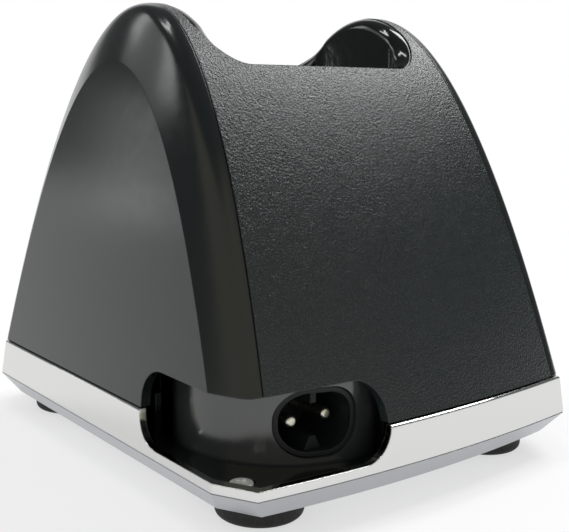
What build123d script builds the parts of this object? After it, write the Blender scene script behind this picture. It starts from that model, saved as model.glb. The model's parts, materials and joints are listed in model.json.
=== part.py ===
from build123d import *
import math
import os

# A charging stand for a cordless hair clipper. +Z is up, the stand's front faces -Y and its
# mains inlet faces +Y. The origin is on the table, under the middle of the stand. Millimetres.

# Base, measured at the lower edge of the bright band
base_width = 96.0
base_depth = 111.2
base_bow = 2.6
corner_cut_x = 4.4
corner_cut_y = 8.2

# Heights, from the table up
foot_drop = 4.5
bevel_height = 4.9
band_height = 8.5
deck_top_above_band_foot = 1.0
arch_rise = 80.9
well_floor_above_band_foot = 31.0

# Lean of the outer faces
bevel_inset = 3.5
band_inset = 0.95

# Arched body: a parabola across the depth. The band's foot stands proud of it by the ledges,
# measured at the seam, level with the band's top. In the middle the arch is deeper there by the
# bow, which fades towards the crown.
rear_ledge = 1.3
side_ledge = 1.25
arch_bow = 2.2
slope_share = 1.06
cap_thickness = 6.55
seam_lean = 0.096
facet_lean = 0.083
facet_end_drop = 8.05
facet_drop = 12.2
corner_across = 0.5
corner_inward = 0.03
corner_weight = 2.6
corner_steps = (0, 0.3, 0.55, 0.8, 1)

# Walls and clearances
shell_wall = 2.2
cap_wall = 2.2
liner_wall = 2.0
band_wall = 1.6
tray_floor = 1.8
deck_thickness = 2.0
seam_gap = 0.3
band_gap = 0.25
seat_gap = 0.2
fit_gap = 0.06
free_gap = 0.3
overrun = 60.0
cut_through = 1.0

# Opening for the clipper, and the lip and well inside it. The land is what is left of the
# crown between the opening and the seam.
opening_land = 2.234
opening_depth = 42.9
opening_radius = 9.6
lip_width = 3.9
lip_drop = 3.0
lip_foot = 72.0
lip_shelf = 1.0
lip_trim = 0.05

# Notch in the corner, over the mains inlet, measured from the middle of the housing
notch_behind_housing = 7.6
notch_beside_housing = 4.7
notch_foot_above_band_foot = 1.9
notch_height = 15.6
notch_top_radius = 6.8
notch_foot_radius = 7.0
notch_rim_room = 3.0

# Round inlet housing standing in the notch, measured from the base's sides
housing_from_side = 30.7
housing_from_rear = 27.8
housing_radius = 22.7
housing_wall = 2.0
housing_roof = 2.0
housing_groove = 0.8
housing_skin = 0.5
inlet_offset = 6.8
inlet_width = 16.6
inlet_height = 14.1
inlet_radius = 6.5
inlet_above_deck = 8.3
inlet_wall = 1.0
inlet_depth = 12.0
inlet_back = 2.0
inlet_set_back = 3.0
rib_set_back = 3.5
lower_rib_share = 1.6
waist_rib = 1.4
waist_gap = 6.6
mains_pin_pitch = 8.6
mains_pin_diameter = 2.4
mains_pin_length = 10.5
mains_tail = 2.5
lead_slot = 5.0
lead_bend = 4.0
lead_start_share = 0.17
lead_end_share = 0.39

# Locating rim on the deck, and the tongues that join the shells
rim_wall = 1.5
rim_inset = 6.5
rim_height = 9.0
tongue_reach = 3.0
tongue_wall = 1.4
tongue_flange = 1.6

# Feet, measured from the base's sides
foot_diameter = 17.7
foot_recess = 1.0
foot_round = 1.3
foot_from_side = 15.5
foot_from_rear = 14.3
foot_from_front = 15.4

# Screws
screw_head_diameter = 5.6
screw_head_height = 1.7
screw_head_round = 0.5
screw_shank_diameter = 2.9
boss_diameter = 7.4
boss_height = 14.0
boss_roof = 2.0
tray_boss_extra = 1.0
base_screw_bite = 7.1
cradle_screw_bite = 6.5
bore_spare = 2.5
notch_screw_from_side = 6.2
notch_screw_from_rear = 7.5
notch_screw_head_diameter = 4.8
notch_screw_head_height = 1.3
notch_screw_head_round = 0.6
notch_screw_sunk = 1.1
notch_screw_shank_diameter = 2.2
notch_screw_length = 3.4
notch_screw_turn = 20
recess_share = 0.55
recess_width = 0.9
recess_depth = 0.5
notch_recess_width = 0.8
notch_recess_depth = 0.8
shell_screw_from_side = 14.0
shell_screw_from_end = 28.4
housing_screw_offset = 15.7
housing_screw_behind = 7.8
leg_from_opening_side = 8.2
leg_from_opening_end = 7.95
leg_diameter = 8.0
leg_split = 7.6

# Inside
ballast_thickness = 1.5
ballast_margin = 3.0
board_from_legs = 4.4
board_before_legs = 16.5
board_behind_middle = 3.4
board_thickness = 1.6
board_corner = 1.0
board_stand_height = 3.6
board_stand_diameter = 4.0
board_stand_margin = 3.0
transformer_share = 0.4545
transformer_depth = 14.0
transformer_height = 13.0
transformer_margin_share = 0.0568
transformer_from_end = 3.0
core_depth_share = 0.6
winding_length_share = 0.56
winding_height_share = 0.74
winding_round = 1.5
capacitor_share = 0.2273
capacitor_height = 13.0
capacitor_margin_share = 0.1136
capacitor_from_end = 2.0
capacitor_round = 0.6
terminal_block_size = (12.0, 7.0, 8.6)
terminal_block_from_end = 11.4
terminal_well_foot_share = 0.55
terminal_well_share = 0.5
lead_diameter = 1.6
lead_pitch = 4.0

# Charging contacts
contact_pitch = 14.0
contact_travel = 2.0
contact_stand = 2.6
contact_diameter = 3.0
contact_dome_share = 0.4
contact_collar_diameter = 3.9
contact_collar_height = 1.5
contact_bore_diameter = 4.6
block_length = 26.0
block_width = 10.0
block_flange = 1.8
block_top_web = 2.0
spring_length = 8.2
spring_wire = 0.4
spring_turns = 6
terminal_thickness = 0.5
terminal_tail = 2.2
retainer_thickness = 1.6

# Places that follow from the sizes above
half_width = base_width / 2
half_depth = base_depth / 2
arch_half_depth = half_depth - rear_ledge
facet_half_depth = arch_half_depth - facet_end_drop
facet_half_width = half_width - side_ledge
seam_half_width = facet_half_width - cap_thickness
opening_width = 2 * (seam_half_width - seam_lean * arch_rise - opening_land)
housing_x = half_width - housing_from_side
housing_y = half_depth - housing_from_rear
notch_side_y = housing_y - notch_behind_housing
notch_rear_x = housing_x - notch_beside_housing
inlet_x = housing_x + inlet_offset
foot_x = half_width - foot_from_side
rear_foot_y = half_depth - foot_from_rear
front_foot_y = foot_from_front - half_depth
notch_screw_x = half_width - notch_screw_from_side
notch_screw_y = half_depth - notch_screw_from_rear
shell_screw_x = half_width - shell_screw_from_side
shell_screw_y = half_depth - shell_screw_from_end
housing_screw_x = housing_x + housing_screw_offset
housing_screw_y = housing_y - housing_screw_behind
leg_x = opening_width / 2 - leg_from_opening_side
leg_y = opening_depth / 2 - leg_from_opening_end
board_high_x = leg_x - board_from_legs
board_low_x = -board_high_x
board_low_y = -leg_y - board_before_legs
board_high_y = board_behind_middle
board_width = board_high_x - board_low_x
transformer_length = transformer_share * board_width
transformer_x = board_low_x + transformer_length / 2 + transformer_margin_share * board_width
transformer_y = board_low_y + transformer_depth / 2 + transformer_from_end
capacitor_diameter = capacitor_share * board_width
capacitor_x = board_high_x - capacitor_diameter / 2 - capacitor_margin_share * board_width
capacitor_y = board_low_y + capacitor_diameter / 2 + capacitor_from_end
terminal_block_y = board_high_y - terminal_block_from_end

# Levels that follow from the sizes above
band_foot = foot_drop + bevel_height
band_top = band_foot + band_height
crown = band_top + arch_rise
body_foot = band_top + band_gap
deck_top = band_foot + deck_top_above_band_foot
deck_bottom = deck_top - deck_thickness
tray_inside = foot_drop + tray_floor
notch_foot = band_foot + notch_foot_above_band_foot
notch_top = notch_foot + notch_height
well_floor = band_foot + well_floor_above_band_foot
well_underside = well_floor - liner_wall
inlet_z = deck_top + inlet_above_deck
housing_top = notch_top + housing_roof
board_bottom = deck_top + board_stand_height
board_top = board_bottom + board_thickness
far = base_width + base_depth


def outline(z, inset=0.0):
    """Base outline at height z: straight sides, cut corners, bowed front and rear."""
    a = base_width / 2 - inset
    b = base_depth / 2 - inset
    side_end = b - corner_cut_y
    bow_end = a - corner_cut_x
    edges = []
    for turn in (1, -1):
        edges.append(Line((turn * a, -turn * side_end, z), (turn * a, turn * side_end, z)))
        edges.append(Line((turn * a, turn * side_end, z), (turn * bow_end, turn * b, z)))
        edges.append(ThreePointArc((turn * bow_end, turn * b, z), (0, turn * (b + base_bow), z),
                                   (-turn * bow_end, turn * b, z)))
        edges.append(Line((-turn * bow_end, turn * b, z), (-turn * a, turn * side_end, z)))
    return Face(Wire(edges))


def tapered_block(low, high, low_inset, high_inset):
    """Solid between two base outlines."""
    return loft([outline(low, low_inset), outline(high, high_inset)], ruled=True)


def straight_block(low, high, inset):
    return extrude(outline(low, inset), amount=high - low, dir=(0, 0, 1))


def arch_face(at, half_depth, bow, top, foot):
    """Upright face under an arch that is half_depth + bow wide at the band's top.

    With t running from the crown outwards, y is half_depth * t + bow * t ** 3 and the height
    falls with t squared, which one cubic curve follows exactly. at(z) gives the face's x."""
    t = math.sqrt((top - foot) / (top - band_top))
    drop = top - foot
    reach = half_depth * t + bow * t ** 3
    pull = half_depth * t / 3 - bow * t ** 3
    left, right = Vector(at(foot), -reach, foot), Vector(at(foot), reach, foot)
    pull_z = top + drop / 3
    curve = Bezier(left, Vector(at(pull_z), -pull, pull_z), Vector(at(pull_z), pull, pull_z), right)
    return Face(Wire([curve, Line(right, left)]))


def arch_body(inset, foot):
    """The arched body's form, moved in by inset, from foot up."""
    sections = []
    for x in (-base_width / 2, 0, base_width / 2):

        def at(z, x=x):
            return x

        bow = arch_bow * (1 - (x / seam_half_width) ** 2)
        half = arch_half_depth - inset * slope_share
        sections.append(arch_face(at, half, bow, crown - inset, foot))
    return loft(sections)


def arch_height(y, inset):
    """Height of the arch's surface over y, near the crown where the bow has faded."""
    share = y / (arch_half_depth - inset * slope_share)
    return crown - inset - (crown - inset - band_top) * share ** 2


def seam_x(z):
    return seam_half_width - seam_lean * (z - band_top)


def facet_x(z):
    return facet_half_width - facet_lean * (z - band_top)


def between_seams(back):
    """Everything between the two leaning seams, each moved back towards the middle."""
    low, high = 0.0, crown + overrun
    points = [(seam_x(low) - back, low), (seam_x(high) - back, high),
              (back - seam_x(high), high), (back - seam_x(low), low)]
    return extrude(Plane.XZ * make_face(Polyline(*points, close=True)), amount=far, both=True)


def corner_point(t):
    """Shares of the way across and inwards along the cap's rounded corner, for t from 0 to 1."""
    pull = 2 * corner_weight * t * (1 - t)
    total = (1 - t) ** 2 + pull + t ** 2
    return (pull * corner_across + t ** 2) / total, (pull * corner_inward + t ** 2) / total


def side_form(inset, foot):
    """Solid between the seam and the leaning flat facet on the +X side.

    Its plan runs on from the seam and turns through a rounded corner to the facet's crease."""
    sections = []
    for t in corner_steps:
        across, inward = corner_point(t)
        half = arch_half_depth + (facet_half_depth - arch_half_depth) * inward - inset
        top = crown - facet_drop * inward - inset

        def at(z, across=across):
            return seam_x(z) + (facet_x(z) - inset - seam_x(z)) * across

        sections.append(arch_face(at, half, 0, top, foot))
    return loft(sections)


def opening_prism(grow, low, high):
    face = RectangleRounded(opening_width + 2 * grow, opening_depth + 2 * grow,
                            opening_radius + grow)
    return extrude(Pos(0, 0, low) * face, high - low)


def notch_cutter():
    """Corner notch, rounded in both faces that it opens."""

    def rounded_profile(low, plane):
        high = low + far
        shape = make_face(Polyline((low, notch_foot), (high, notch_foot), (high, notch_top),
                                   (low, notch_top), close=True))
        ends = shape.vertices().group_by(Axis.X)[0].sort_by(Axis.Y)
        shape = fillet(ends[0], notch_foot_radius)
        ends = shape.vertices().group_by(Axis.X)[0].sort_by(Axis.Y)
        shape = fillet(ends[-1], notch_top_radius)
        return plane * shape

    side_view = Plane(origin=(0, 0, 0), x_dir=(0, 1, 0), z_dir=(1, 0, 0))
    rear_view = Plane(origin=(0, 0, 0), x_dir=(1, 0, 0), z_dir=(0, -1, 0))
    from_side = extrude(rounded_profile(notch_side_y, side_view), far)
    from_rear = extrude(rounded_profile(notch_rear_x, rear_view), -far)
    return from_side & from_rear


def disc(x, y, low, high, diameter):
    return extrude(Pos(x, y, low) * Circle(diameter / 2), high - low)


def box_between(low, high):
    size = [h - l for l, h in zip(low, high)]
    middle = [(l + h) / 2 for l, h in zip(low, high)]
    return Pos(*middle) * Box(*size)


def upright_block(x, y, low, size):
    return Pos(x, y, low + size[2] / 2) * Box(*size)


shell_screws = [(-shell_screw_x, shell_screw_y), (-shell_screw_x, -shell_screw_y),
                (shell_screw_x, -shell_screw_y)]
base_screw_places = shell_screws + [(housing_screw_x, housing_screw_y)]
legs = [(-leg_x, leg_y), (-leg_x, -leg_y), (leg_x, -leg_y)]
housing_leg = (leg_x, leg_y)
foot_places = {"foot_rear_right": (foot_x, rear_foot_y),
               "foot_rear_left": (-foot_x, rear_foot_y),
               "foot_front_right": (foot_x, front_foot_y),
               "foot_front_left": (-foot_x, front_foot_y)}
contact_places = {"left": -contact_pitch / 2, "right": contact_pitch / 2}


# Shells

def make_main_shell():
    """Textured front and rear in one arch, open at both ends and at the clipper's well."""
    shell = arch_body(0, body_foot) & between_seams(seam_gap / 2)
    shell -= arch_body(shell_wall, band_foot)
    shell -= opening_prism(0, well_floor, crown + overrun)
    shell -= notch_cutter()
    inner = arch_body(shell_wall / 2, body_foot)
    for x, y in shell_screws:
        toward = 1 if y > 0 else -1
        boss = disc(x, y, deck_top, deck_top + boss_height, boss_diameter)
        web_low = (x - shell_wall / 2, min(y, toward * arch_half_depth),
                   deck_top + rim_height + seat_gap)
        web_high = (x + shell_wall / 2, max(y, toward * arch_half_depth), deck_top + boss_height)
        shell += boss + (box_between(web_low, web_high) & inner)
        shell -= disc(x, y, deck_top - cut_through, deck_top + boss_height - boss_roof,
                      screw_shank_diameter + 2 * fit_gap)
    return shell


def make_side_cap(with_notch):
    """Glossy side with its flat facet, and the tongue that slides under the main shell."""
    under = shell_wall + seat_gap
    start = seam_gap / 2
    outer = side_form(0, body_foot)
    cap = outer - side_form(cap_wall, band_foot)
    slab = between_seams(-start - tongue_flange) - between_seams(tongue_reach)
    inside = arch_body(under + tongue_wall, band_foot)
    ring = (outer & slab) - inside
    tongue = (arch_body(under, body_foot) & slab & between_seams(-start - tongue_flange / 2)) - inside
    half = box_between((0, -far, 0), (far, far, crown + overrun))
    cap = (cap - between_seams(-start)) + (ring - between_seams(-start)) + (tongue & half)
    cap -= opening_prism(2 * free_gap, well_underside, crown + overrun)
    if with_notch:
        cap -= notch_cutter()
    return cap


def lip_section(x, y, angle):
    """Upright face of the lip at the rim's point (x, y), where angle points outwards."""
    rim_z = arch_height(y, seat_gap)
    inward = Vector(-math.cos(angle), -math.sin(angle), 0)
    plane = Plane(origin=(x, y, rim_z), x_dir=inward, z_dir=inward.cross(Vector(0, 0, 1)))
    low = lip_foot - rim_z
    half_turn = math.cos(math.pi / 4)
    shelf = lip_width + lip_shelf
    roll = ThreePointArc((0, 0), (lip_width * half_turn, lip_drop * (half_turn - 1)),
                         (lip_width, -lip_drop))
    rest = Polyline((lip_width, -lip_drop), (shelf, -lip_drop), (shelf, low), (0, low), (0, 0))
    return plane * make_face([roll, *rest.edges()])


def make_lip():
    """Rolled lip all round the opening, its outer edge on the arch."""
    half_x, half_y = opening_width / 2 - seat_gap, opening_depth / 2 - seat_gap
    radius = opening_radius - seat_gap
    centre_x, centre_y = half_x - radius, half_y - radius
    turns = [math.pi / 2 * step / 4 for step in range(5)]
    corner = loft([lip_section(centre_x + radius * math.cos(a), centre_y + radius * math.sin(a), a)
                   for a in turns])
    side = loft([lip_section(half_x, centre_y * step / 2, 0) for step in range(-2, 3)])
    end = loft([lip_section(x, half_y, math.pi / 2) for x in (-centre_x, centre_x)], ruled=True)
    right = side + corner + mirror(corner, about=Plane.XZ)
    return right + mirror(right, about=Plane.YZ) + end + mirror(end, about=Plane.XZ)


def make_cradle_liner():
    """Well that the clipper stands in, with a rolled lip that follows the arch."""
    inner = seat_gap + lip_width - lip_trim
    tub = opening_prism(liner_wall - inner, well_underside, lip_foot + lip_shelf) + make_lip()
    tub -= opening_prism(-inner, well_floor, crown + overrun)
    for x, y in legs:
        tub += disc(x, y, deck_top + leg_split, well_underside, leg_diameter)
        tub -= disc(x, y, deck_top + leg_split - cut_through,
                    deck_top + leg_split + cradle_screw_bite + bore_spare,
                    screw_shank_diameter + 2 * fit_gap)
    tub += disc(*housing_leg, housing_top, well_underside, leg_diameter)
    tub -= upright_block(0, 0, well_underside - cut_through,
                         (block_length + 2 * fit_gap, block_width + 2 * fit_gap,
                          liner_wall + 2 * cut_through))
    return tub


# Base

def make_trim_band():
    """Bright chromed ring, lowered at the notch to a thin rim."""
    band = tapered_block(band_foot, band_top, 0, band_inset)
    band -= tapered_block(band_foot, band_top, band_wall, band_inset + band_wall)
    return band - notch_cutter()


def make_base_tray():
    """Satin tray with a bevelled side; it carries the feet, the ballast and the screws."""
    ledge = band_wall + seat_gap
    tray = tapered_block(foot_drop, band_foot, bevel_inset, 0)
    tray -= straight_block(deck_bottom, band_foot + cut_through, ledge)
    tray -= straight_block(tray_inside, deck_bottom, bevel_inset + ledge)
    for x, y in base_screw_places + legs:
        tray += disc(x, y, foot_drop, deck_bottom, boss_diameter + tray_boss_extra)
    for x, y in base_screw_places + legs:
        tray -= disc(x, y, foot_drop - cut_through, deck_bottom + cut_through,
                     screw_shank_diameter + 4 * fit_gap)
        tray -= disc(x, y, foot_drop - cut_through, foot_drop + screw_head_height + free_gap,
                     screw_head_diameter + free_gap)
    for x, y in foot_places.values():
        tray -= disc(x, y, foot_drop - cut_through, foot_drop + foot_recess,
                     foot_diameter + 2 * seat_gap)
    tray -= disc(notch_screw_x, notch_screw_y, deck_top - notch_screw_length - seat_gap,
                 band_foot, notch_screw_shank_diameter + 2 * fit_gap)
    return tray


def make_base_deck():
    """Black floor plate: a rim that locates the shells, towers for the cradle's legs."""
    deck = straight_block(deck_bottom, deck_top, band_wall + 2 * seat_gap)
    rim = straight_block(deck_top, deck_top + rim_height, rim_inset)
    rim -= straight_block(deck_top, deck_top + rim_height, rim_inset + rim_wall)
    room = box_between((notch_rear_x - notch_rim_room, notch_side_y - notch_rim_room, deck_top),
                       (far, far, deck_top + rim_height))
    deck += rim - room
    for x, y in legs:
        deck += disc(x, y, deck_top, deck_top + leg_split, leg_diameter)
    for x, y in board_stands():
        deck += disc(x, y, deck_top, board_bottom, board_stand_diameter)
    for x, y in base_screw_places + legs:
        deck -= disc(x, y, deck_bottom - cut_through, deck_top + leg_split + cut_through,
                     screw_shank_diameter + 4 * fit_gap)
    deck -= disc(notch_screw_x, notch_screw_y, deck_bottom - cut_through,
                 deck_top + cut_through,
                 notch_screw_shank_diameter + 4 * fit_gap)
    deck -= disc(notch_screw_x, notch_screw_y, deck_top - notch_screw_sunk,
                 deck_top + cut_through, notch_screw_head_diameter + 2 * seat_gap)
    groove = disc(housing_x, housing_y, deck_top - deck_thickness / 2, deck_top + cut_through,
                  2 * (housing_radius + housing_groove))
    groove -= disc(housing_x, housing_y, deck_bottom, deck_top + 2 * cut_through,
                   2 * (housing_radius - housing_wall - seat_gap))
    return deck - groove


def make_ballast_plate():
    """Steel sheet that gives the stand its weight, with holes round the tray's bosses."""
    margin = bevel_inset + band_wall + seat_gap + ballast_margin
    plate = straight_block(tray_inside, tray_inside + ballast_thickness, margin)
    for x, y in base_screw_places + legs:
        plate -= disc(x, y, tray_inside - cut_through, deck_bottom,
                      boss_diameter + tray_boss_extra + 4 * seat_gap)
    return plate


def make_foot(x, y):
    foot = disc(x, y, 0, foot_drop + foot_recess, foot_diameter)
    return fillet(foot.edges().filter_by(GeomType.CIRCLE).sort_by(Axis.Z)[0], foot_round)


# Mains inlet

def make_socket_housing():
    """Round wall in the notch, roofed over, with the hole for the inlet and one screw boss."""
    wall_foot = deck_top - deck_thickness / 2
    drum = disc(housing_x, housing_y, wall_foot, housing_top, 2 * housing_radius)
    drum -= disc(housing_x, housing_y, wall_foot - cut_through, housing_top - housing_roof,
                 2 * (housing_radius - housing_wall))
    boss = disc(housing_screw_x, housing_screw_y, deck_top, housing_top - housing_roof,
                boss_diameter)
    drum += boss & disc(housing_x, housing_y, deck_top, housing_top,
                        2 * (housing_radius - housing_skin))
    drum -= disc(housing_screw_x, housing_screw_y, deck_top - cut_through,
                 deck_top + base_screw_bite + bore_spare, screw_shank_diameter + 2 * fit_gap)
    drum -= upright_block(0, 0, deck_top - deck_thickness,
                          (block_length + 2 * free_gap, block_width + 2 * free_gap, far))
    drum &= arch_body(shell_wall + free_gap, 0) + box_between(
        (notch_rear_x, 0, 0), (far, far, notch_top - free_gap))
    hole = RectangleRounded(inlet_width, inlet_height, inlet_radius)
    drum -= extrude(Plane(origin=(inlet_x, housing_y, inlet_z), x_dir=(1, 0, 0),
                          z_dir=(0, 1, 0)) * hole, far)
    return drum - box_between((leads_x(-1) - lead_slot / 2, 0, inlet_z - lead_slot / 2),
                              (leads_x(1) + lead_slot / 2, housing_y, inlet_z + lead_slot / 2))


def inlet_plane(y):
    return Plane(origin=(inlet_x, y, inlet_z), x_dir=(-1, 0, 0), z_dir=(0, 1, 0))


def make_inlet_body():
    """Sleeve with a keyed, waisted mouth for a two-pole plug."""
    width = inlet_width - 2 * seat_gap
    height = inlet_height - 2 * seat_gap
    radius = inlet_radius - seat_gap
    mouth = housing_y + housing_radius
    back = inlet_back_y()
    body = extrude(inlet_plane(back) * RectangleRounded(width, height, radius), mouth - back)
    body -= extrude(inlet_plane(back + inlet_back)
                    * RectangleRounded(width - 2 * inlet_wall, height - 2 * inlet_wall,
                                       radius - inlet_wall), mouth)
    rib_reach = mouth - rib_set_back - back
    for side in (1, -1):
        tip = side * waist_gap / 2
        root = side * (height / 2 - inlet_wall / 2)
        root_half = waist_rib / 2 if side > 0 else lower_rib_share * waist_rib
        rib = make_face(Polyline((-root_half, root), (root_half, root), (waist_rib / 2, tip),
                                 (-waist_rib / 2, tip), close=True))
        body += extrude(inlet_plane(back) * rib, rib_reach)
    body &= disc(housing_x, housing_y, deck_top, housing_top,
                 2 * (housing_radius - housing_skin))
    for x in mains_pin_places():
        body -= extrude(Plane(origin=(x, back - cut_through, inlet_z), x_dir=(1, 0, 0), z_dir=(0, 1, 0))
                        * Circle(mains_pin_diameter / 2 + fit_gap), inlet_back + 2 * cut_through)
    return body


def inlet_back_y():
    return housing_y + housing_radius - inlet_set_back - inlet_depth - inlet_back


def mains_pin_places():
    return [inlet_x - mains_pin_pitch / 2, inlet_x + mains_pin_pitch / 2]


def make_mains_pin(x):
    start = inlet_back_y() - mains_tail
    length = mains_tail + inlet_back + mains_pin_length
    pin = extrude(Plane(origin=(x, start, inlet_z), x_dir=(1, 0, 0), z_dir=(0, 1, 0))
                  * Circle(mains_pin_diameter / 2), length)
    tip = pin.edges().filter_by(GeomType.CIRCLE).sort_by(Axis.Y)[-1]
    return fillet(tip, mains_pin_diameter / 4)


def leads_x(side):
    return terminal_block_x() + side * lead_pitch / 2


def terminal_block_x():
    return board_high_x - terminal_block_size[0] / 2


def make_mains_leads():
    """Two insulated leads from the inlet's tails to the terminal block."""
    leads = Part()
    for side, pin_x in zip((-1, 1), mains_pin_places()):
        start = (pin_x, inlet_back_y() - mains_tail, inlet_z)
        end = (leads_x(side), terminal_block_y + terminal_block_size[1] / 2, inlet_z)
        run = start[1] - end[1]
        first = (pin_x, start[1] - lead_start_share * run, inlet_z)
        second = (leads_x(side), end[1] + lead_end_share * run, inlet_z)
        path = FilletPolyline(start, first, second, end, radius=lead_bend)
        section = Plane(origin=start, z_dir=(0, -1, 0)) * Circle(lead_diameter / 2)
        leads += sweep(section, path=path)
    return leads


# Electronics

def board_stands():
    low_x, high_x = board_low_x + board_stand_margin, board_high_x - board_stand_margin
    low_y, high_y = board_low_y + board_stand_margin, board_high_y - board_stand_margin
    return [(x, y) for x in (low_x, high_x) for y in (low_y, high_y)]


def make_circuit_board():
    board = box_between((board_low_x, board_low_y, board_bottom),
                        (board_high_x, board_high_y, board_top))
    return fillet(board.edges().filter_by(Axis.Z), board_corner)


def make_transformer():
    """Laminated core with a taped winding through it."""
    x, y = transformer_x, transformer_y
    core = upright_block(x, y, board_top,
                         (transformer_length, transformer_depth * core_depth_share, transformer_height))
    winding = upright_block(x, y, board_top,
                            (transformer_length * winding_length_share, transformer_depth,
                             transformer_height * winding_height_share))
    winding = fillet(winding.edges().filter_by(Axis.Z), winding_round)
    return core + winding


def make_filter_capacitor():
    can = disc(capacitor_x, capacitor_y, board_top, board_top + capacitor_height,
               capacitor_diameter)
    return fillet(can.edges().filter_by(GeomType.CIRCLE).sort_by(Axis.Z)[-1],
                  capacitor_round)


def make_terminal_block():
    length, depth, height = terminal_block_size
    x = terminal_block_x()
    block = upright_block(x, terminal_block_y, board_top, terminal_block_size)
    for side in (-1, 1):
        well = disc(leads_x(side), terminal_block_y, board_top + height * terminal_well_foot_share,
                    board_top + height + cut_through, depth * terminal_well_share)
        block -= well
    return block


# Charging contacts

collar_top = well_floor - block_top_web - seat_gap
spring_top = collar_top - contact_collar_height
spring_foot = spring_top - spring_length
terminal_top = spring_foot - seat_gap / 2
block_foot = terminal_top - terminal_thickness


def make_contact_block():
    """Insulating block in the well's floor, bored for two sprung contacts."""
    block = upright_block(0, 0, block_foot, (block_length, block_width, well_floor - block_foot))
    block += box_between((-block_length / 2 - block_flange, -block_width / 2 - block_flange,
                          well_underside - block_flange - seat_gap / 2),
                         (block_length / 2 + block_flange, block_width / 2 + block_flange,
                          well_underside - seat_gap / 2))
    for x in contact_places.values():
        block -= disc(x, 0, block_foot - cut_through, well_floor - block_top_web, contact_bore_diameter)
        block -= disc(x, 0, block_foot, well_floor + cut_through, contact_diameter + 2 * fit_gap)
    return block


def make_contact_retainer():
    """Plate that closes the bores from below, with slots for the terminals' tails."""
    plate = upright_block(0, 0, block_foot - retainer_thickness,
                          (block_length, block_width, retainer_thickness))
    for x in contact_places.values():
        plate -= disc(x, 0, block_foot - retainer_thickness - cut_through, block_foot + cut_through,
                      lead_diameter + 2 * fit_gap)
    return plate


def make_contact_terminals():
    """Pressed discs under the springs, each with a round tail through the retainer."""
    terminals = Part()
    for x in contact_places.values():
        terminals += disc(x, 0, block_foot, terminal_top, contact_bore_diameter - 2 * free_gap)
        terminals += disc(x, 0, block_foot - terminal_tail, block_foot, lead_diameter)
    return terminals


def make_contact_leads():
    """Stiff links from the terminals' tails straight down to the board."""
    leads = Part()
    for x in contact_places.values():
        leads += disc(x, 0, board_top, block_foot - terminal_tail, lead_diameter)
    return leads


def make_contact_pin(x):
    """Domed contact with a collar that stops under the block's top web."""
    tip = well_floor + contact_stand
    pin = disc(x, 0, collar_top, tip, contact_diameter)
    pin = fillet(pin.edges().filter_by(GeomType.CIRCLE).sort_by(Axis.Z)[-1],
                 contact_diameter * contact_dome_share)
    return pin + disc(x, 0, spring_top, collar_top, contact_collar_diameter)


def make_contact_spring(x):
    """Round wire wound into an open coil under the collar."""
    coil_radius = contact_collar_diameter / 2 - spring_wire / 2 - seat_gap / 2
    rise = spring_length - spring_wire - seat_gap
    pitch = rise / spring_turns
    low = spring_foot + spring_wire / 2 + seat_gap / 2
    helix = Pos(x, 0, low) * Helix(pitch=pitch, height=rise, radius=coil_radius)
    start = helix.position_at(0)
    section = Plane(origin=start, z_dir=helix.tangent_at(0)) * Circle(spring_wire / 2)
    return sweep(section, path=helix, is_frenet=True)


# Screws

def make_screw(x, y, tip):
    """Pan-head screw driven upwards from the tray's underside."""
    head_low = foot_drop + free_gap
    head = disc(x, y, head_low, head_low + screw_head_height, screw_head_diameter)
    head = fillet(head.edges().filter_by(GeomType.CIRCLE).sort_by(Axis.Z)[0], screw_head_round)
    shank = disc(x, y, head_low + screw_head_height, tip, screw_shank_diameter)
    screw = head + shank
    slot = screw_head_diameter * recess_share
    for size in ((slot, recess_width), (recess_width, slot)):
        screw -= Pos(x, y, head_low) * Box(*size, 2 * recess_depth)
    return screw


def make_base_screws():
    screws = Part()
    for x, y in base_screw_places:
        screws += make_screw(x, y, deck_top + base_screw_bite)
    return screws


def make_cradle_screws():
    screws = Part()
    for x, y in legs:
        screws += make_screw(x, y, deck_top + leg_split + cradle_screw_bite)
    return screws


def make_notch_screw():
    """The one screw in view, down through the deck into the tray, with a crossed recess."""
    x, y = notch_screw_x, notch_screw_y
    head_low = deck_top - notch_screw_sunk
    head_top = head_low + notch_screw_head_height
    head = disc(x, y, head_low, head_top, notch_screw_head_diameter)
    head = fillet(head.edges().filter_by(GeomType.CIRCLE).sort_by(Axis.Z)[-1],
                  notch_screw_head_round)
    screw = head + disc(x, y, deck_top - notch_screw_length, head_low, notch_screw_shank_diameter)
    slot = notch_screw_head_diameter * recess_share
    for size in ((slot, notch_recess_width), (notch_recess_width, slot)):
        screw -= Pos(x, y, head_top) * Rot(0, 0, notch_screw_turn) * Box(*size, 2 * notch_recess_depth)
    return screw


def build_parts():
    parts = {
        "main_shell": make_main_shell(),
        "side_cap_right": make_side_cap(True),
        "side_cap_left": Rot(0, 0, 180) * make_side_cap(False),
        "cradle_liner": make_cradle_liner(),
        "trim_band": make_trim_band(),
        "base_tray": make_base_tray(),
        "base_deck": make_base_deck(),
        "ballast_plate": make_ballast_plate(),
        "socket_housing": make_socket_housing(),
        "inlet_body": make_inlet_body(),
        "mains_leads": make_mains_leads(),
        "circuit_board": make_circuit_board(),
        "transformer": make_transformer(),
        "filter_capacitor": make_filter_capacitor(),
        "terminal_block": make_terminal_block(),
        "contact_block": make_contact_block(),
        "contact_retainer": make_contact_retainer(),
        "contact_terminals": make_contact_terminals(),
        "contact_leads": make_contact_leads(),
        "base_screws": make_base_screws(),
        "cradle_screws": make_cradle_screws(),
        "notch_screw": make_notch_screw(),
    }
    for name, (x, y) in foot_places.items():
        parts[name] = make_foot(x, y)
    for name, x in zip(("left", "right"), mains_pin_places()):
        parts["mains_pin_" + name] = make_mains_pin(x)
    for name, x in contact_places.items():
        parts["contact_pin_" + name] = make_contact_pin(x)
        parts["contact_spring_" + name] = make_contact_spring(x)
    return parts


os.makedirs("parts", exist_ok=True)
for node, shape in build_parts().items():
    export_step(shape, f"parts/{node}.step")
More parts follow.
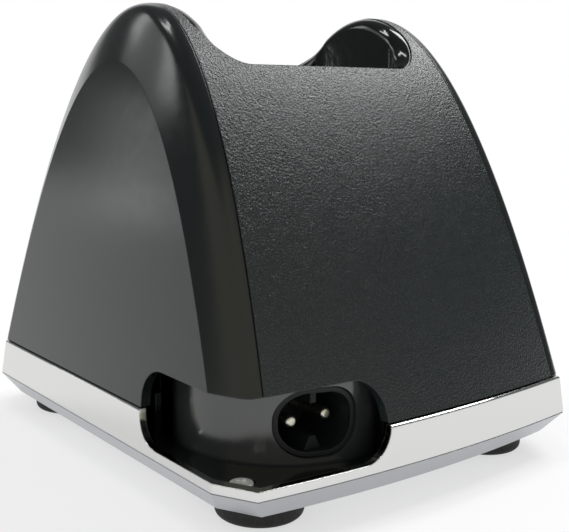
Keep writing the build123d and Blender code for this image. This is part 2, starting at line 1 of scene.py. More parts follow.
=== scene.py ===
"""Clipper charging stand: finishes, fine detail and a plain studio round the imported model."""
import json
import math
from itertools import repeat

import bmesh
import bpy
from bpy.types import Node, NodeSocket, Operator, Panel, PropertyGroup
from mathutils import Matrix, Vector


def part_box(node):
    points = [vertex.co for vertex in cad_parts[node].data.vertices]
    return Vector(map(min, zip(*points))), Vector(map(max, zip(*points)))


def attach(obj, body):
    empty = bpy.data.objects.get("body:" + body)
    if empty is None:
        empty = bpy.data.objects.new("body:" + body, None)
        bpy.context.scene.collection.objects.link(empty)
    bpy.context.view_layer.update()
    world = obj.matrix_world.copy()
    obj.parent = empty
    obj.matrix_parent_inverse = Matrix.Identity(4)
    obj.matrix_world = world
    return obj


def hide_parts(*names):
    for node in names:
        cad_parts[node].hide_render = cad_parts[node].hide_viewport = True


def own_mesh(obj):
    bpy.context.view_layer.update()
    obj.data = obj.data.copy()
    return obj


bl_info = {
    "name": "Clipper charging stand",
    "version": (1, 0, 0),
    "blender": (4, 5, 0),
    "location": "3D View > Sidebar > Stand",
    "description": "Finishes and details a charging stand round its packed CAD frame",
    "category": "Object",
}

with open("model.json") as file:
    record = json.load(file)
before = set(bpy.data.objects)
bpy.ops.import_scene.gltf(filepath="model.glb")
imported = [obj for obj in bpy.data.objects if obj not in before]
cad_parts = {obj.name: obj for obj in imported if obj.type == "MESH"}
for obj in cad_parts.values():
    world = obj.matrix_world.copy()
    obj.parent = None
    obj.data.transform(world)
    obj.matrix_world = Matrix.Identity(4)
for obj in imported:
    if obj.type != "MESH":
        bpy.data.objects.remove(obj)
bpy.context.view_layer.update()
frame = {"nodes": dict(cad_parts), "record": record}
MM = 0.001


def mm(*values):
    """Lengths or points given in millimetres, in metres."""
    return [tuple(mm(*value)) if isinstance(value, tuple) else value * MM for value in values]


def linear(code):
    """Linear RGBA of an sRGB hex colour."""
    channels = [int(code[i:i + 2], 16) / 255 for i in (0, 2, 4)]
    return [c / 12.92 if c <= 0.04045 else ((c + 0.055) / 1.055) ** 2.4 for c in channels] + [1.0]


# Places of the frame's own pieces
BAND_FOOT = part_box("trim_band")[0].z
BAND_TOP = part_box("trim_band")[1].z
BASE_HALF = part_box("trim_band")[1]
TRAY_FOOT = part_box("base_tray")[0].z
BODY_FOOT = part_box("side_cap_right")[0].z
BOSS_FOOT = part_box("main_shell")[0].z
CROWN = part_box("main_shell")[1].z
LEG_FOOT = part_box("cradle_liner")[0].z
WELL_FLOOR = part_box("contact_block")[1].z
HOUSING_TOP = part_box("socket_housing")[1].z
FOOT_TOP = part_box("foot_rear_right")[1].z
NOTCH_FOOT = BAND_FOOT + 1.9 * MM
NOTCH_TOP = BAND_FOOT + 17.5 * MM
NOTCH_SIDE_Y, NOTCH_REAR_X = mm(20.2, 12.6)
SHELL_SCREWS = mm((-34, 27.2), (-34, -27.2), (34, -27.2))
BASE_SCREWS = SHELL_SCREWS + mm((33, 20))
*LEGS, HOUSING_LEG = mm((-22, 13.5), (-22, -13.5), (22, -13.5), (22, 13.5))
FEET = mm((32.5, 41.3), (-32.5, 41.3), (32.5, -40.2), (-32.5, -40.2))
NOTCH_SCREW = tuple(mm(41.8, 48.1))
MAINS_PINS = mm(19.8, 28.4)
SCREW_BORE = 1.51 * MM
# Clear of everything, for tools that cut right through
FAR = 0.2
# How far a cut or a joined solid reaches past the face that it meets
PAST = 1 * MM
# Points nearer than this are one
TOUCHING = 1e-6


# Settings that a user would change

def length(label, about, millimetres):
    return bpy.props.FloatProperty(name=label, description=about, default=millimetres * MM,
                                   min=0.0, unit="LENGTH", precision=5)


def ratio(label, about, value):
    return bpy.props.FloatProperty(name=label, description=about, default=value, precision=3)


def count(label, about, value):
    return bpy.props.IntProperty(name=label, description=about, default=value, min=1)


def colour(label, about, code):
    return bpy.props.FloatVectorProperty(name=label, description=about, default=linear(code),
                                         size=4, min=0.0, max=1.0, subtype="COLOR")


class StandColours(PropertyGroup):
    shell: colour("Shell", "Textured front and rear", "1b2223")
    cap: colour("Side caps", "Smooth semi-gloss sides", "15191a")
    liner: colour("Liner", "Polished lip and well", "0e0f10")
    # painted sheen: the housing's black wall is given a lighter grey colour, standing in for the
    # light it reflects
    housing: colour("Inlet housing", "Smooth wall in the notch", "303232")
    chrome: colour("Band", "Chrome plating", "d8d8d7")
    tray: colour("Tray", "Satin silver paint", "b9bbbf")
    black: colour("Floor plate", "Black moulded plastic in the notch", "0f1010")
    rubber: colour("Feet", "Rubber", "161616")


class StandForm(PropertyGroup):
    half_depth: length("Arch half depth", "At the seam, level with the band's top", 54.3)
    bow: length("Arch bow", "How much deeper the arch is in the middle", 2.2)
    slope_share: ratio("Slope share", "Share of a wall's thickness taken off the depth", 1.06)
    seam_half_width: length("Seam half width", "Middle to seam, at the band's top", 40.2)
    seam_lean: ratio("Seam lean", "Inwards per unit of height", 0.096)
    seam_gap: length("Seam gap", "Between the shell and a side cap", 0.2)
    facet_half_width: length("Facet half width", "Middle to facet, at the band's top", 46.75)
    facet_lean: ratio("Facet lean", "Inwards per unit of height", 0.083)
    facet_half_depth: length("Facet half depth", "At the band's top", 46.25)
    facet_drop: length("Facet drop", "Crown to the top of the facet", 12.2)
    corner_across: ratio("Corner across", "Where the corner's pull lies towards the facet", 0.5)
    corner_inward: ratio("Corner inward", "Where the corner's pull lies inwards", 0.03)
    corner_weight: ratio("Corner fullness", "Weight of the corner's pull", 2.6)
    wall: length("Wall", "Thickness of the shells", 2.2)
    opening_width: length("Opening width", "Across the stand", 60.4)
    opening_depth: length("Opening depth", "Front to rear", 42.9)
    opening_radius: length("Opening radius", "Of its corners", 9.6)
    lip_width: length("Lip width", "Of the rolled lip", 3.85)
    lip_drop: length("Lip drop", "Height of the roll", 3.0)
    notch_foot_radius: length("Notch foot radius", "Of the notch's lower corners", 7.0)
    notch_top_radius: length("Notch top radius", "Of the notch's upper corners", 6.8)
    base_bow: length("Base bow", "How much deeper the base is in the middle", 2.6)
    corner_cut_x: length("Corner cut across", "Of the base's cut corners", 4.4)
    corner_cut_y: length("Corner cut along", "Of the base's cut corners", 8.2)
    band_lean: length("Band lean", "How far the band's top lies inside its foot", 0.95)
    band_wall: length("Band wall", "Thickness of the plated band", 1.6)
    tray_bevel: length("Tray bevel", "How far the tray's foot lies inside its top", 3.5)


class StandSizes(PropertyGroup):
    grain: length("Shell grain", "Width of one grain of the shell's texture", 0.45)
    edge: length("Edge rounding", "Radius worn on the moulded edges", 0.3)
    band_edge: length("Band edge", "Radius of the plated band's edges", 0.5)
    plating_wave: length("Plating waviness", "Length of the plating's shallow waves", 9.0)
    rows: count("Rows", "Faces along the arch", 160)
    columns: count("Columns", "Faces across the arch", 48)
    turned_faces: count("Turned faces", "Faces round a turned piece", 64)
    plates: count("Core plates", "Plates in the transformer's core", 14)


# One node with its settings and links

def add(tree, kind, inputs=None, **settings):
    """Adds one node. Inputs are named or numbered sockets, each given a value, an output or a
    node, which stands for its first output."""
    node = tree.nodes.new(kind)
    for name, value in settings.items():
        setattr(node, name, value)
    for name, value in (inputs or {}).items():
        if isinstance(value, Node):
            value = value.outputs[0]
        if isinstance(value, NodeSocket):
            tree.links.new(value, node.inputs[name])
        else:
            node.inputs[name].default_value = value
    return node


# Mesh helpers. Points are in metres, in the frame's own axes.

def new_object(name, data):
    item = bpy.data.objects.new(name, data)
    bpy.context.scene.collection.objects.link(item)
    return item


def new_mesh(points, faces=()):
    mesh = bpy.data.meshes.new("mesh")
    mesh.from_pydata(points, [], faces)
    return mesh


def clean(mesh):
    """Merges doubles and turns the faces of a closed mesh outwards."""
    shape = bmesh.new()
    shape.from_mesh(mesh)
    bmesh.ops.remove_doubles(shape, verts=shape.verts, dist=TOUCHING)
    bmesh.ops.dissolve_degenerate(shape, edges=shape.edges, dist=TOUCHING)
    bmesh.ops.recalc_face_normals(shape, faces=shape.faces)
    shape.to_mesh(mesh)
    shape.free()


def rings_mesh(rings, ends=True):
    """Closed skin over rings of points. With ends the first and the last ring are filled, and
    without them the last ring joins the first again."""
    size, total = len(rings[0]), len(rings)
    faces = []
    for i in range(total - 1 if ends else total):
        here, there = i * size, (i + 1) % total * size
        for j in range(size):
            k = (j + 1) % size
            faces.append((here + j, here + k, there + k, there + j))
    if ends:
        faces.append(tuple(reversed(range(size))))
        faces.append(tuple(range((total - 1) * size, total * size)))
    mesh = new_mesh([point for ring in rings for point in ring], faces)
    clean(mesh)
    return mesh


def settle(piece):
    """Turns the evaluated piece into a plain mesh without modifiers."""
    graph = bpy.context.evaluated_depsgraph_get()
    mesh = bpy.data.meshes.new_from_object(piece.evaluated_get(graph))
    piece.modifiers.clear()
    piece.data = mesh


def carve(piece, mesh, operation="DIFFERENCE"):
    """Cuts a closed mesh out of the piece, or adds it."""
    tool = new_object("tool", mesh)
    modifier = piece.modifiers.new("carve", "BOOLEAN")
    modifier.operation = operation
    modifier.solver = "EXACT"
    modifier.object = tool
    settle(piece)
    bpy.data.objects.remove(tool)


def all_in_one(meshes):
    """One mesh holding several closed ones that don't touch."""
    shape = bmesh.new()
    for mesh in meshes:
        shape.from_mesh(mesh)
    joined = new_mesh([])
    shape.to_mesh(joined)
    shape.free()
    return joined


def rounded(points, radii, steps=6):
    """Closed outline of (across, up) points whose corners are rounded by the given radii."""
    outline = []
    for i, point in enumerate(points):
        corner = Vector(point)
        if not radii[i]:
            outline.append(tuple(corner))
            continue
        before = (Vector(points[i - 1]) - corner).normalized()
        after = (Vector(points[(i + 1) % len(points)]) - corner).normalized()
        half = before.angle(after) / 2
        centre = corner + (before + after).normalized() * (radii[i] / math.sin(half))
        start = corner + before * (radii[i] / math.tan(half)) - centre
        end = corner + after * (radii[i] / math.tan(half)) - centre
        for step in range(steps + 1):
            way = start.lerp(end, step / steps).normalized()
            outline.append(tuple(centre + way * radii[i]))
    return outline


def arc(across, up, radius, steps, start=0, rise=None):
    """A quarter of a circle round a point, from a start in degrees on, or of an oval with its
    own rise."""
    turns = [math.radians(start + 90 * i / steps) for i in range(steps + 1)]
    return [(across + radius * math.cos(a), up + (rise or radius) * math.sin(a)) for a in turns]


def post(spot, *steps, faces=48):
    """Upright solid over a spot, from (height, radius) steps, closed at both ends."""
    turns = [2 * math.pi * i / faces for i in range(faces)]
    return rings_mesh([[(spot[0] + radius * math.cos(a), spot[1] + radius * math.sin(a), z)
                        for a in turns] for z, radius in steps])


def block(low, high):
    corners = [(low[0], low[1]), (high[0], low[1]), (high[0], high[1]), (low[0], high[1])]
    return rings_mesh([[(x, y, z) for x, y in corners] for z in (low[2], high[2])])


def rounded_loop(half_x, half_y, radius, per_corner=14, per_side=24):
    """Rounded rectangle as (corner centre x, y, outward x, y) for each point, so that loops at
    other radii have the same points."""
    centre_x, centre_y = half_x - radius, half_y - radius
    corners = ((1, 1), (-1, 1), (-1, -1), (1, -1))
    loop = []
    for quarter_turn, (sx, sy) in enumerate(corners):
        for step in range(per_corner + 1):
            angle = math.pi / 2 * (quarter_turn + step / per_corner)
            loop.append((sx * centre_x, sy * centre_y, math.cos(angle), math.sin(angle)))
        next_x, next_y = corners[(quarter_turn + 1) % 4]
        for step in range(1, per_side):
            share = step / per_side
            loop.append((centre_x * (sx + (next_x - sx) * share),
                         centre_y * (sy + (next_y - sy) * share), *loop[-1][2:]))
    return loop


def loop_ring(loop, radius, heights):
    """Points of a loop at one radius, each at its own height."""
    return [(centre_x + radius * out_x, centre_y + radius * out_y, z)
            for (centre_x, centre_y, out_x, out_y), z in zip(loop, heights)]


def cross_recess(spot, low, high, width, turn):
    """Tapered plus-shaped prism over a spot, between two levels given as (height, reach)."""
    rings = []
    for z, reach in (low, high):
        w = width / 2
        corners = []
        for arm in range(4):
            a = turn + arm * math.pi / 2
            for along, across in ((reach, -w), (reach, w), (w, w)):
                corners.append((spot[0] + along * math.cos(a) - across * math.sin(a),
                                spot[1] + along * math.sin(a) + across * math.cos(a), z))
        rings.append(corners)
    return rings_mesh(rings)


def give(piece, material):
    """The piece shows this material in all its slots."""
    piece.data.materials.clear()
    piece.data.materials.append(material)


def finish_piece(piece, slot, *nodes, body="stand", degrees=16):
    """The piece wears its slot's finish, rides on its body and stands for its CAD nodes."""
    give(piece, bpy.data.materials[FINISH[slot]])
    piece.data.shade_smooth()
    piece.data.set_sharp_from_angle(angle=math.radians(degrees))
    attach(piece, body)
    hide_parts(*nodes)


# The stand's own forms

def base_outline(form, inset, height, steps=48):
    """Base outline: straight sides, cut corners, bowed front and rear."""
    half_x = BASE_HALF.x - inset
    half_y = BASE_HALF.y - form.base_bow - inset
    side_end = half_y - form.corner_cut_y
    bow_end = half_x - form.corner_cut_x
    radius = (bow_end ** 2 + form.base_bow ** 2) / (2 * form.base_bow)
    centre = half_y + form.base_bow - radius
    ring = []
    for turn in (1, -1):
        ring.append((turn * half_x, -turn * side_end, height))
        ring.append((turn * half_x, turn * side_end, height))
        for step in range(steps + 1):
            x = bow_end * (1 - 2 * step / steps)
            ring.append((turn * x, turn * (centre + math.sqrt(radius ** 2 - x ** 2)), height))
    return ring


def notch_mesh(form):
    """What the corner notch takes away, rounded in both faces that it opens."""
    radii = (form.notch_foot_radius, 0, 0, form.notch_top_radius)

    def outline(start):
        corners = [(start, NOTCH_FOOT), (FAR, NOTCH_FOOT), (FAR, NOTCH_TOP), (start, NOTCH_TOP)]
        return rounded(corners, radii, steps=16)

    from_side = rings_mesh([[(x, y, z) for y, z in outline(NOTCH_SIDE_Y)] for x in (0.0, FAR)])
    from_rear = rings_mesh([[(x, y, z) for x, z in outline(NOTCH_REAR_X)] for y in (0.0, FAR)])
    tool = new_object("notch", from_side)
    carve(tool, from_rear, "INTERSECT")
    mesh = tool.data
    bpy.data.objects.remove(tool)
    return mesh


def opening_mesh(form, grow, low):
    """What the well's opening takes away, from a height up."""
    radius = form.opening_radius + grow
    loop = rounded_loop(form.opening_width / 2 + grow, form.opening_depth / 2 + grow, radius)
    return rings_mesh([loop_ring(loop, radius, repeat(z)) for z in (low, FAR)])


def seam_x(form, z):
    return form.seam_half_width - form.seam_lean * (z - BAND_TOP)


def arch_point(inset, foot, way):
    """Share of the half depth, and height, on the arch at an inset. way is -1 at its front foot
    and 1 at its rear foot."""
    top = CROWN - inset
    share = math.sqrt((top - foot) / (top - BAND_TOP)) * way
    return share, top - (top - BAND_TOP) * share ** 2


def arch_strip(form, insets, beyond, start=-1, steps=96):
    """Closed strip along the arch to its rear foot, between two depths in the wall and two
    offsets beyond the seam. start is -1 from the front foot and 0 from the crown."""
    rings = []
    for step in range(steps + 1):
        ring = []
        for inset, offset in ((insets[0], beyond[0]), (insets[0], beyond[1]),
                              (insets[1], beyond[1]), (insets[1], beyond[0])):
            share, z = arch_point(inset, BODY_FOOT, start + (1 - start) * step / steps)
            x = seam_x(form, z) + offset
            bow = form.bow * (1 - (x / form.seam_half_width) ** 2)
            half = form.half_depth - form.slope_share * inset
            ring.append((x, half * share + bow * share ** 3, z))
        rings.append(ring)
    return rings_mesh(rings)


def corner_point(form, t):
    """Shares of the way across and inwards along a cap's rounded corner, for t from 0 to 1."""
    pull = 2 * form.corner_weight * t * (1 - t)
    total = (1 - t) ** 2 + pull + t ** 2
    return ((pull * form.corner_across + t ** 2) / total,
            (pull * form.corner_inward + t ** 2) / total)


def side_mesh(form, inset, foot, first, stations=28, steps=120):
    """Solid from the seam to the leaning flat facet. first is its first share across."""
    shares = [corner_point(form, i / stations) for i in range(stations + 1)]
    shares[0] = (first, 0.0)
    rings = []
    for across, inward in shares:
        half = form.half_depth + (form.facet_half_depth - form.half_depth) * inward - inset
        ring = []
        for step in range(steps + 1):
            share, z = arch_point(form.facet_drop * inward + inset, foot, 2 * step / steps - 1)
            seam = seam_x(form, z)
            facet = form.facet_half_width - form.facet_lean * (z - BAND_TOP) - inset
            ring.append((seam + (facet - seam) * across, half * share, z))
        rings.append(ring)
    return rings_mesh(rings)


# Node trees for Geometry Nodes

def new_rule(name, sockets, sums=()):
    """A geometry tree with named inputs, given as (name, socket kind) in order. Each of its sums
    has a name, an operation and two terms. Returns the tree and all that is known in it by name:
    its inputs, and with sums the point's Place, its X, Y and Z, and the sums."""
    tree = bpy.data.node_groups.new(name, "GeometryNodeTree")
    for label, kind in (("Geometry", "Geometry"), *sockets, ("Material", "Material")):
        tree.interface.new_socket(label, in_out="INPUT", socket_type="NodeSocket" + kind)
    tree.interface.new_socket("Geometry", in_out="OUTPUT", socket_type="NodeSocketGeometry")
    known = dict(add(tree, "NodeGroupInput").outputs.items())
    if sums:
        known["Place"] = add(tree, "GeometryNodeInputPosition")
        known.update(add(tree, "ShaderNodeSeparateXYZ", {0: known["Place"]}).outputs.items())
    for label, operation, first, second in sums:
        terms = {0: known.get(first, first), 1: known.get(second, second)}
        known[label] = add(tree, "ShaderNodeMath", terms, operation=operation, label=label)
    return tree, known


def end_rule(tree, last, known):
    """Every tree ends in real geometry that wears the given material."""
    real = add(tree, "GeometryNodeRealizeInstances", {0: last})
    done = add(tree, "GeometryNodeSetMaterial", {"Geometry": real, "Material": known["Material"]})
    add(tree, "NodeGroupOutput", {0: done})
    return tree


def ruled_piece(name, tree, slot, values, points=()):
    """A piece that a tree makes from points, its inputs set by identifier."""
    piece = new_object(name, new_mesh(points))
    modifier = piece.modifiers.new(tree.name, "NODES")
    modifier.node_group = tree
    values = {"Material": bpy.data.materials[FINISH[slot]], **values}
    for item in tree.interface.items_tree:
        if item.in_out == "INPUT" and item.name in values:
            modifier[item.identifier] = values[item.name]
    settle(piece)
    clean(piece.data)
    return piece


ARCH_SUMS = (
    ("depth in wall", "SUBTRACT", 0.5, "Z"),
    ("inset", "MULTIPLY", "Wall", "depth in wall"),
    ("top", "SUBTRACT", "Crown", "inset"),
    ("rise", "SUBTRACT", "top", "Band top"),
    ("seen rise", "SUBTRACT", "top", "Foot"),
    ("seen share", "DIVIDE", "seen rise", "rise"),
    ("reach", "SQRT", "seen share", 0.0),
    ("twice y", "MULTIPLY", "Y", 2.0),
    ("share", "MULTIPLY", "twice y", "reach"),
    ("share squared", "MULTIPLY", "share", "share"),
    ("share cubed", "MULTIPLY", "share squared", "share"),
    ("fall", "MULTIPLY", "rise", "share squared"),
    ("height", "SUBTRACT", "top", "fall"),
    ("above band", "SUBTRACT", "height", "Band top"),
    ("lean", "MULTIPLY", "Seam lean", "above band"),
    ("seam", "SUBTRACT", "Seam half width", "lean"),
    ("half gap", "MULTIPLY", "Gap", 0.5),
    ("edge", "SUBTRACT", "seam", "half gap"),
    ("twice x", "MULTIPLY", "X", 2.0),
    ("across", "MULTIPLY", "twice x", "edge"),
    ("side share", "DIVIDE", "across", "Seam half width"),
    ("side squared", "MULTIPLY", "side share", "side share"),
    ("middle share", "SUBTRACT", 1.0, "side squared"),
    ("bow here", "MULTIPLY", "Bow", "middle share"),
    ("inset along", "MULTIPLY", "inset", "Slope share"),
    ("half", "SUBTRACT", "Half depth", "inset along"),
    ("straight part", "MULTIPLY", "half", "share"),
    ("bowed part", "MULTIPLY", "bow here", "share cubed"),
    ("along", "ADD", "straight part", "bowed part"),
)


def arch_rule():
    """The arched shell: a closed sheet whose rows follow the arch and whose columns run between
    the two leaning seams."""
    floats = ("Crown", "Band top", "Foot", "Half depth", "Bow", "Seam half width", "Wall", "Gap",
              "Slope share", "Seam lean")
    sockets = [(label, "Float") for label in floats] + [("Rows", "Int"), ("Columns", "Int")]
    tree, known = new_rule("arch_shell", sockets, ARCH_SUMS)
    sheet = add(tree, "GeometryNodeMeshCube", {
        "Size": (1, 1, 1), "Vertices X": known["Columns"], "Vertices Y": known["Rows"],
        "Vertices Z": 2})
    spot = add(tree, "ShaderNodeCombineXYZ", {
        0: known["across"], 1: known["along"], 2: known["height"]})
    moved = add(tree, "GeometryNodeSetPosition", {"Geometry": sheet, "Position": spot})
    return end_rule(tree, moved, known)


TURNED_SUMS = (
    ("points round", "ADD", "Faces round", 1.0),
    ("last row", "SUBTRACT", "Rows", 1.0),
    ("from low end", "ADD", "Y", 0.5),
    ("row here", "MULTIPLY", "from low end", "last row"),
    ("row", "ROUND", "row here", 0.0),
    ("angle", "MULTIPLY", "X", 2 * math.pi),
    ("along x", "COSINE", "angle", 0.0),
    ("along y", "SINE", "angle", 0.0),
)


def turned_rule():
    """Turned pieces: a profile of (radius, height) points spun round an axis, one at each point
    of the modifier's own mesh."""
    tree, known = new_rule("turned_pieces", [("Profile", "Object"), ("Rows", "Int"),
                                             ("Faces round", "Int"), ("Turn", "Vector")],
                           TURNED_SUMS)
    grid = add(tree, "GeometryNodeMeshGrid", {
        "Size X": 1.0, "Size Y": 1.0, "Vertices X": known["points round"],
        "Vertices Y": known["Rows"]})
    profile = add(tree, "GeometryNodeObjectInfo", {"Object": known["Profile"]})
    sample = add(tree, "GeometryNodeSampleIndex", {
        "Geometry": profile.outputs["Geometry"], "Value": known["Place"],
        "Index": known["row"]}, data_type="FLOAT_VECTOR")
    drawn = add(tree, "ShaderNodeSeparateXYZ", {0: sample}).outputs
    x = add(tree, "ShaderNodeMath", {0: drawn["X"], 1: known["along x"]}, operation="MULTIPLY")
    y = add(tree, "ShaderNodeMath", {0: drawn["X"], 1: known["along y"]}, operation="MULTIPLY")
    spun = add(tree, "ShaderNodeCombineXYZ", {0: x, 1: y, 2: drawn["Z"]})
    moved = add(tree, "GeometryNodeSetPosition", {"Geometry": grid, "Position": spun})
    merged = add(tree, "GeometryNodeMergeByDistance", {"Geometry": moved, "Distance": TOUCHING})
    turn = add(tree, "FunctionNodeEulerToRotation", {0: known["Turn"]})
    placed = add(tree, "GeometryNodeInstanceOnPoints", {
        "Points": known["Geometry"], "Instance": merged, "Rotation": turn})
    return end_rule(tree, placed, known)


def stack_rule():
    """Plates stacked along the depth, each a little apart from the next."""
    tree, known = new_rule("stacked_plates", [("Start", "Vector"), ("Step", "Vector"),
                                              ("Plate", "Vector"), ("Plates", "Int")])
    line = add(tree, "GeometryNodeMeshLine", {
        "Count": known["Plates"], "Start Location": known["Start"], "Offset": known["Step"]})
    plate = add(tree, "GeometryNodeMeshCube", {"Size": known["Plate"]})
    placed = add(tree, "GeometryNodeInstanceOnPoints", {"Points": line, "Instance": plate})
    return end_rule(tree, placed, known)


def turned_piece(name, profile, places, slot, turn=(0, 0, 0)):
    """Spins a profile of (radius, height) points at each place, given as x, y and perhaps z."""
    holder = new_object("profile", new_mesh([(radius, 0, height) for radius, height in profile]))
    piece = ruled_piece(name, turned_rule(), slot, {
        "Profile": holder, "Rows": len(profile), "Turn": turn,
        "Faces round": bpy.context.scene.stand_sizes.turned_faces},
        [(*place, 0)[:3] for place in places])
    bpy.data.objects.remove(holder)
    return piece


# Materials

def new_material(name):
    """An empty material with its tree and the piece's own coordinates in metres."""
    material = bpy.data.materials.new(name)
    material.use_nodes = True
    material.node_tree.nodes.clear()
    place = add(material.node_tree, "ShaderNodeTexCoord").outputs["Object"]
    return material, material.node_tree, place


# The range that a noise texture hardly leaves
NOISE_LOW, NOISE_HIGH = 0.3, 0.7
# How far the dye's brightness varies, and how many of its patches go to a metre
DYE_DARK, DYE_LIGHT, DYE_PATCHES = 0.88, 1.12, 45.0
# How much finer than the grain or the waves the noise in the roughness is
PLASTIC_FINER, METAL_FINER = 1.6, 12


def show(tree, sockets, fine, roughness, spread, height, depth, edge):
    """The shader: a roughness that varies by spread with the fine grain, over bumps of a height
    and a depth in millimetres, on edges worn to a radius."""
    rough = add(tree, "ShaderNodeMapRange", {
        "Value": fine, "From Min": NOISE_LOW, "From Max": NOISE_HIGH,
        "To Min": roughness - spread, "To Max": roughness + spread})
    worn = add(tree, "ShaderNodeBevel", {"Radius": edge}, samples=4)
    bump = add(tree, "ShaderNodeBump", {"Height": height, "Distance": depth * MM, "Normal": worn})
    shader = add(tree, "ShaderNodeBsdfPrincipled", {**sockets, "Roughness": rough, "Normal": bump})
    add(tree, "ShaderNodeOutputMaterial", {"Surface": shader})


def moulded_plastic(name, base, roughness, spread, grain, depth, edge, pits=0.0, ior=1.5):
    """Injection-moulded plastic: a dark dye that varies a little, a grain pressed by the mould
    and rounded edges. pits is how much of the grain is the rounded cells of a spark-eroded
    mould."""
    _, tree, place = new_material(name)
    scale = 1 / (grain * MM)
    cells = add(tree, "ShaderNodeTexVoronoi", {"Vector": place, "Scale": scale},
                feature="SMOOTH_F1")
    fine = add(tree, "ShaderNodeTexNoise", {
        "Vector": place, "Scale": PLASTIC_FINER * scale, "Detail": 3.0})
    broad = add(tree, "ShaderNodeTexNoise", {
        "Vector": place, "Scale": DYE_PATCHES, "Detail": 2.0})
    height = add(tree, "ShaderNodeMath", {0: cells, 1: pits, 2: fine}, operation="MULTIPLY_ADD")
    shade = add(tree, "ShaderNodeMapRange", {
        "Value": broad, "To Min": DYE_DARK, "To Max": DYE_LIGHT})
    dye = add(tree, "ShaderNodeMix", {0: 1.0, 6: base, 7: shade}, data_type="RGBA",
              blend_type="MULTIPLY")
    show(tree, {"Base Color": dye.outputs[2], "IOR": ior}, fine, roughness, spread, height,
         depth, edge)


def bare_metal(name, base, roughness, spread, wave, depth, edge, stretch=(1, 1, 1), clear=1.0):
    """Metal, plated or machined: its waves or grain bend what it mirrors. clear is how much of
    it is bare, the rest being a dull film."""
    _, tree, place = new_material(name)
    scale = 1 / (wave * MM)
    turned = add(tree, "ShaderNodeMapping", {"Vector": place, "Scale": stretch})
    waves = add(tree, "ShaderNodeTexNoise", {"Vector": turned, "Scale": scale, "Detail": 2.0})
    fine = add(tree, "ShaderNodeTexNoise", {
        "Vector": turned, "Scale": METAL_FINER * scale, "Detail": 4.0})
    show(tree, {"Base Color": base, "Metallic": clear}, fine, roughness, spread, waves, depth,
         edge)


# Material of each of the record's slots
FINISH = {"shell_textured": "spark_textured_abs", "cap_gloss": "smooth_abs",
          "liner_gloss": "polished_abs", "band_chrome": "chrome_plate",
          "tray_satin": "satin_silver_paint", "deck_black": "matt_abs",
          "ballast_steel": "rolled_steel", "pin_nickel": "nickel_plate",
          "lead_insulation": "pvc_insulation", "board_laminate": "epoxy_laminate",
          "transformer_core": "varnished_laminations", "capacitor_can": "sleeved_can",
          "spring_steel": "drawn_wire", "screw_steel": "zinc_plate",
          "foot_rubber": "moulded_rubber"}
# Nodes in the notch whose surface differs from the others of their slot; the housing's grey colour
# is painted sheen on a black wall
OWN_FINISH = {"socket_housing": "housing_abs_painted_sheen", "inlet_body": "inlet_abs",
              "base_deck": "polished_floor_abs"}


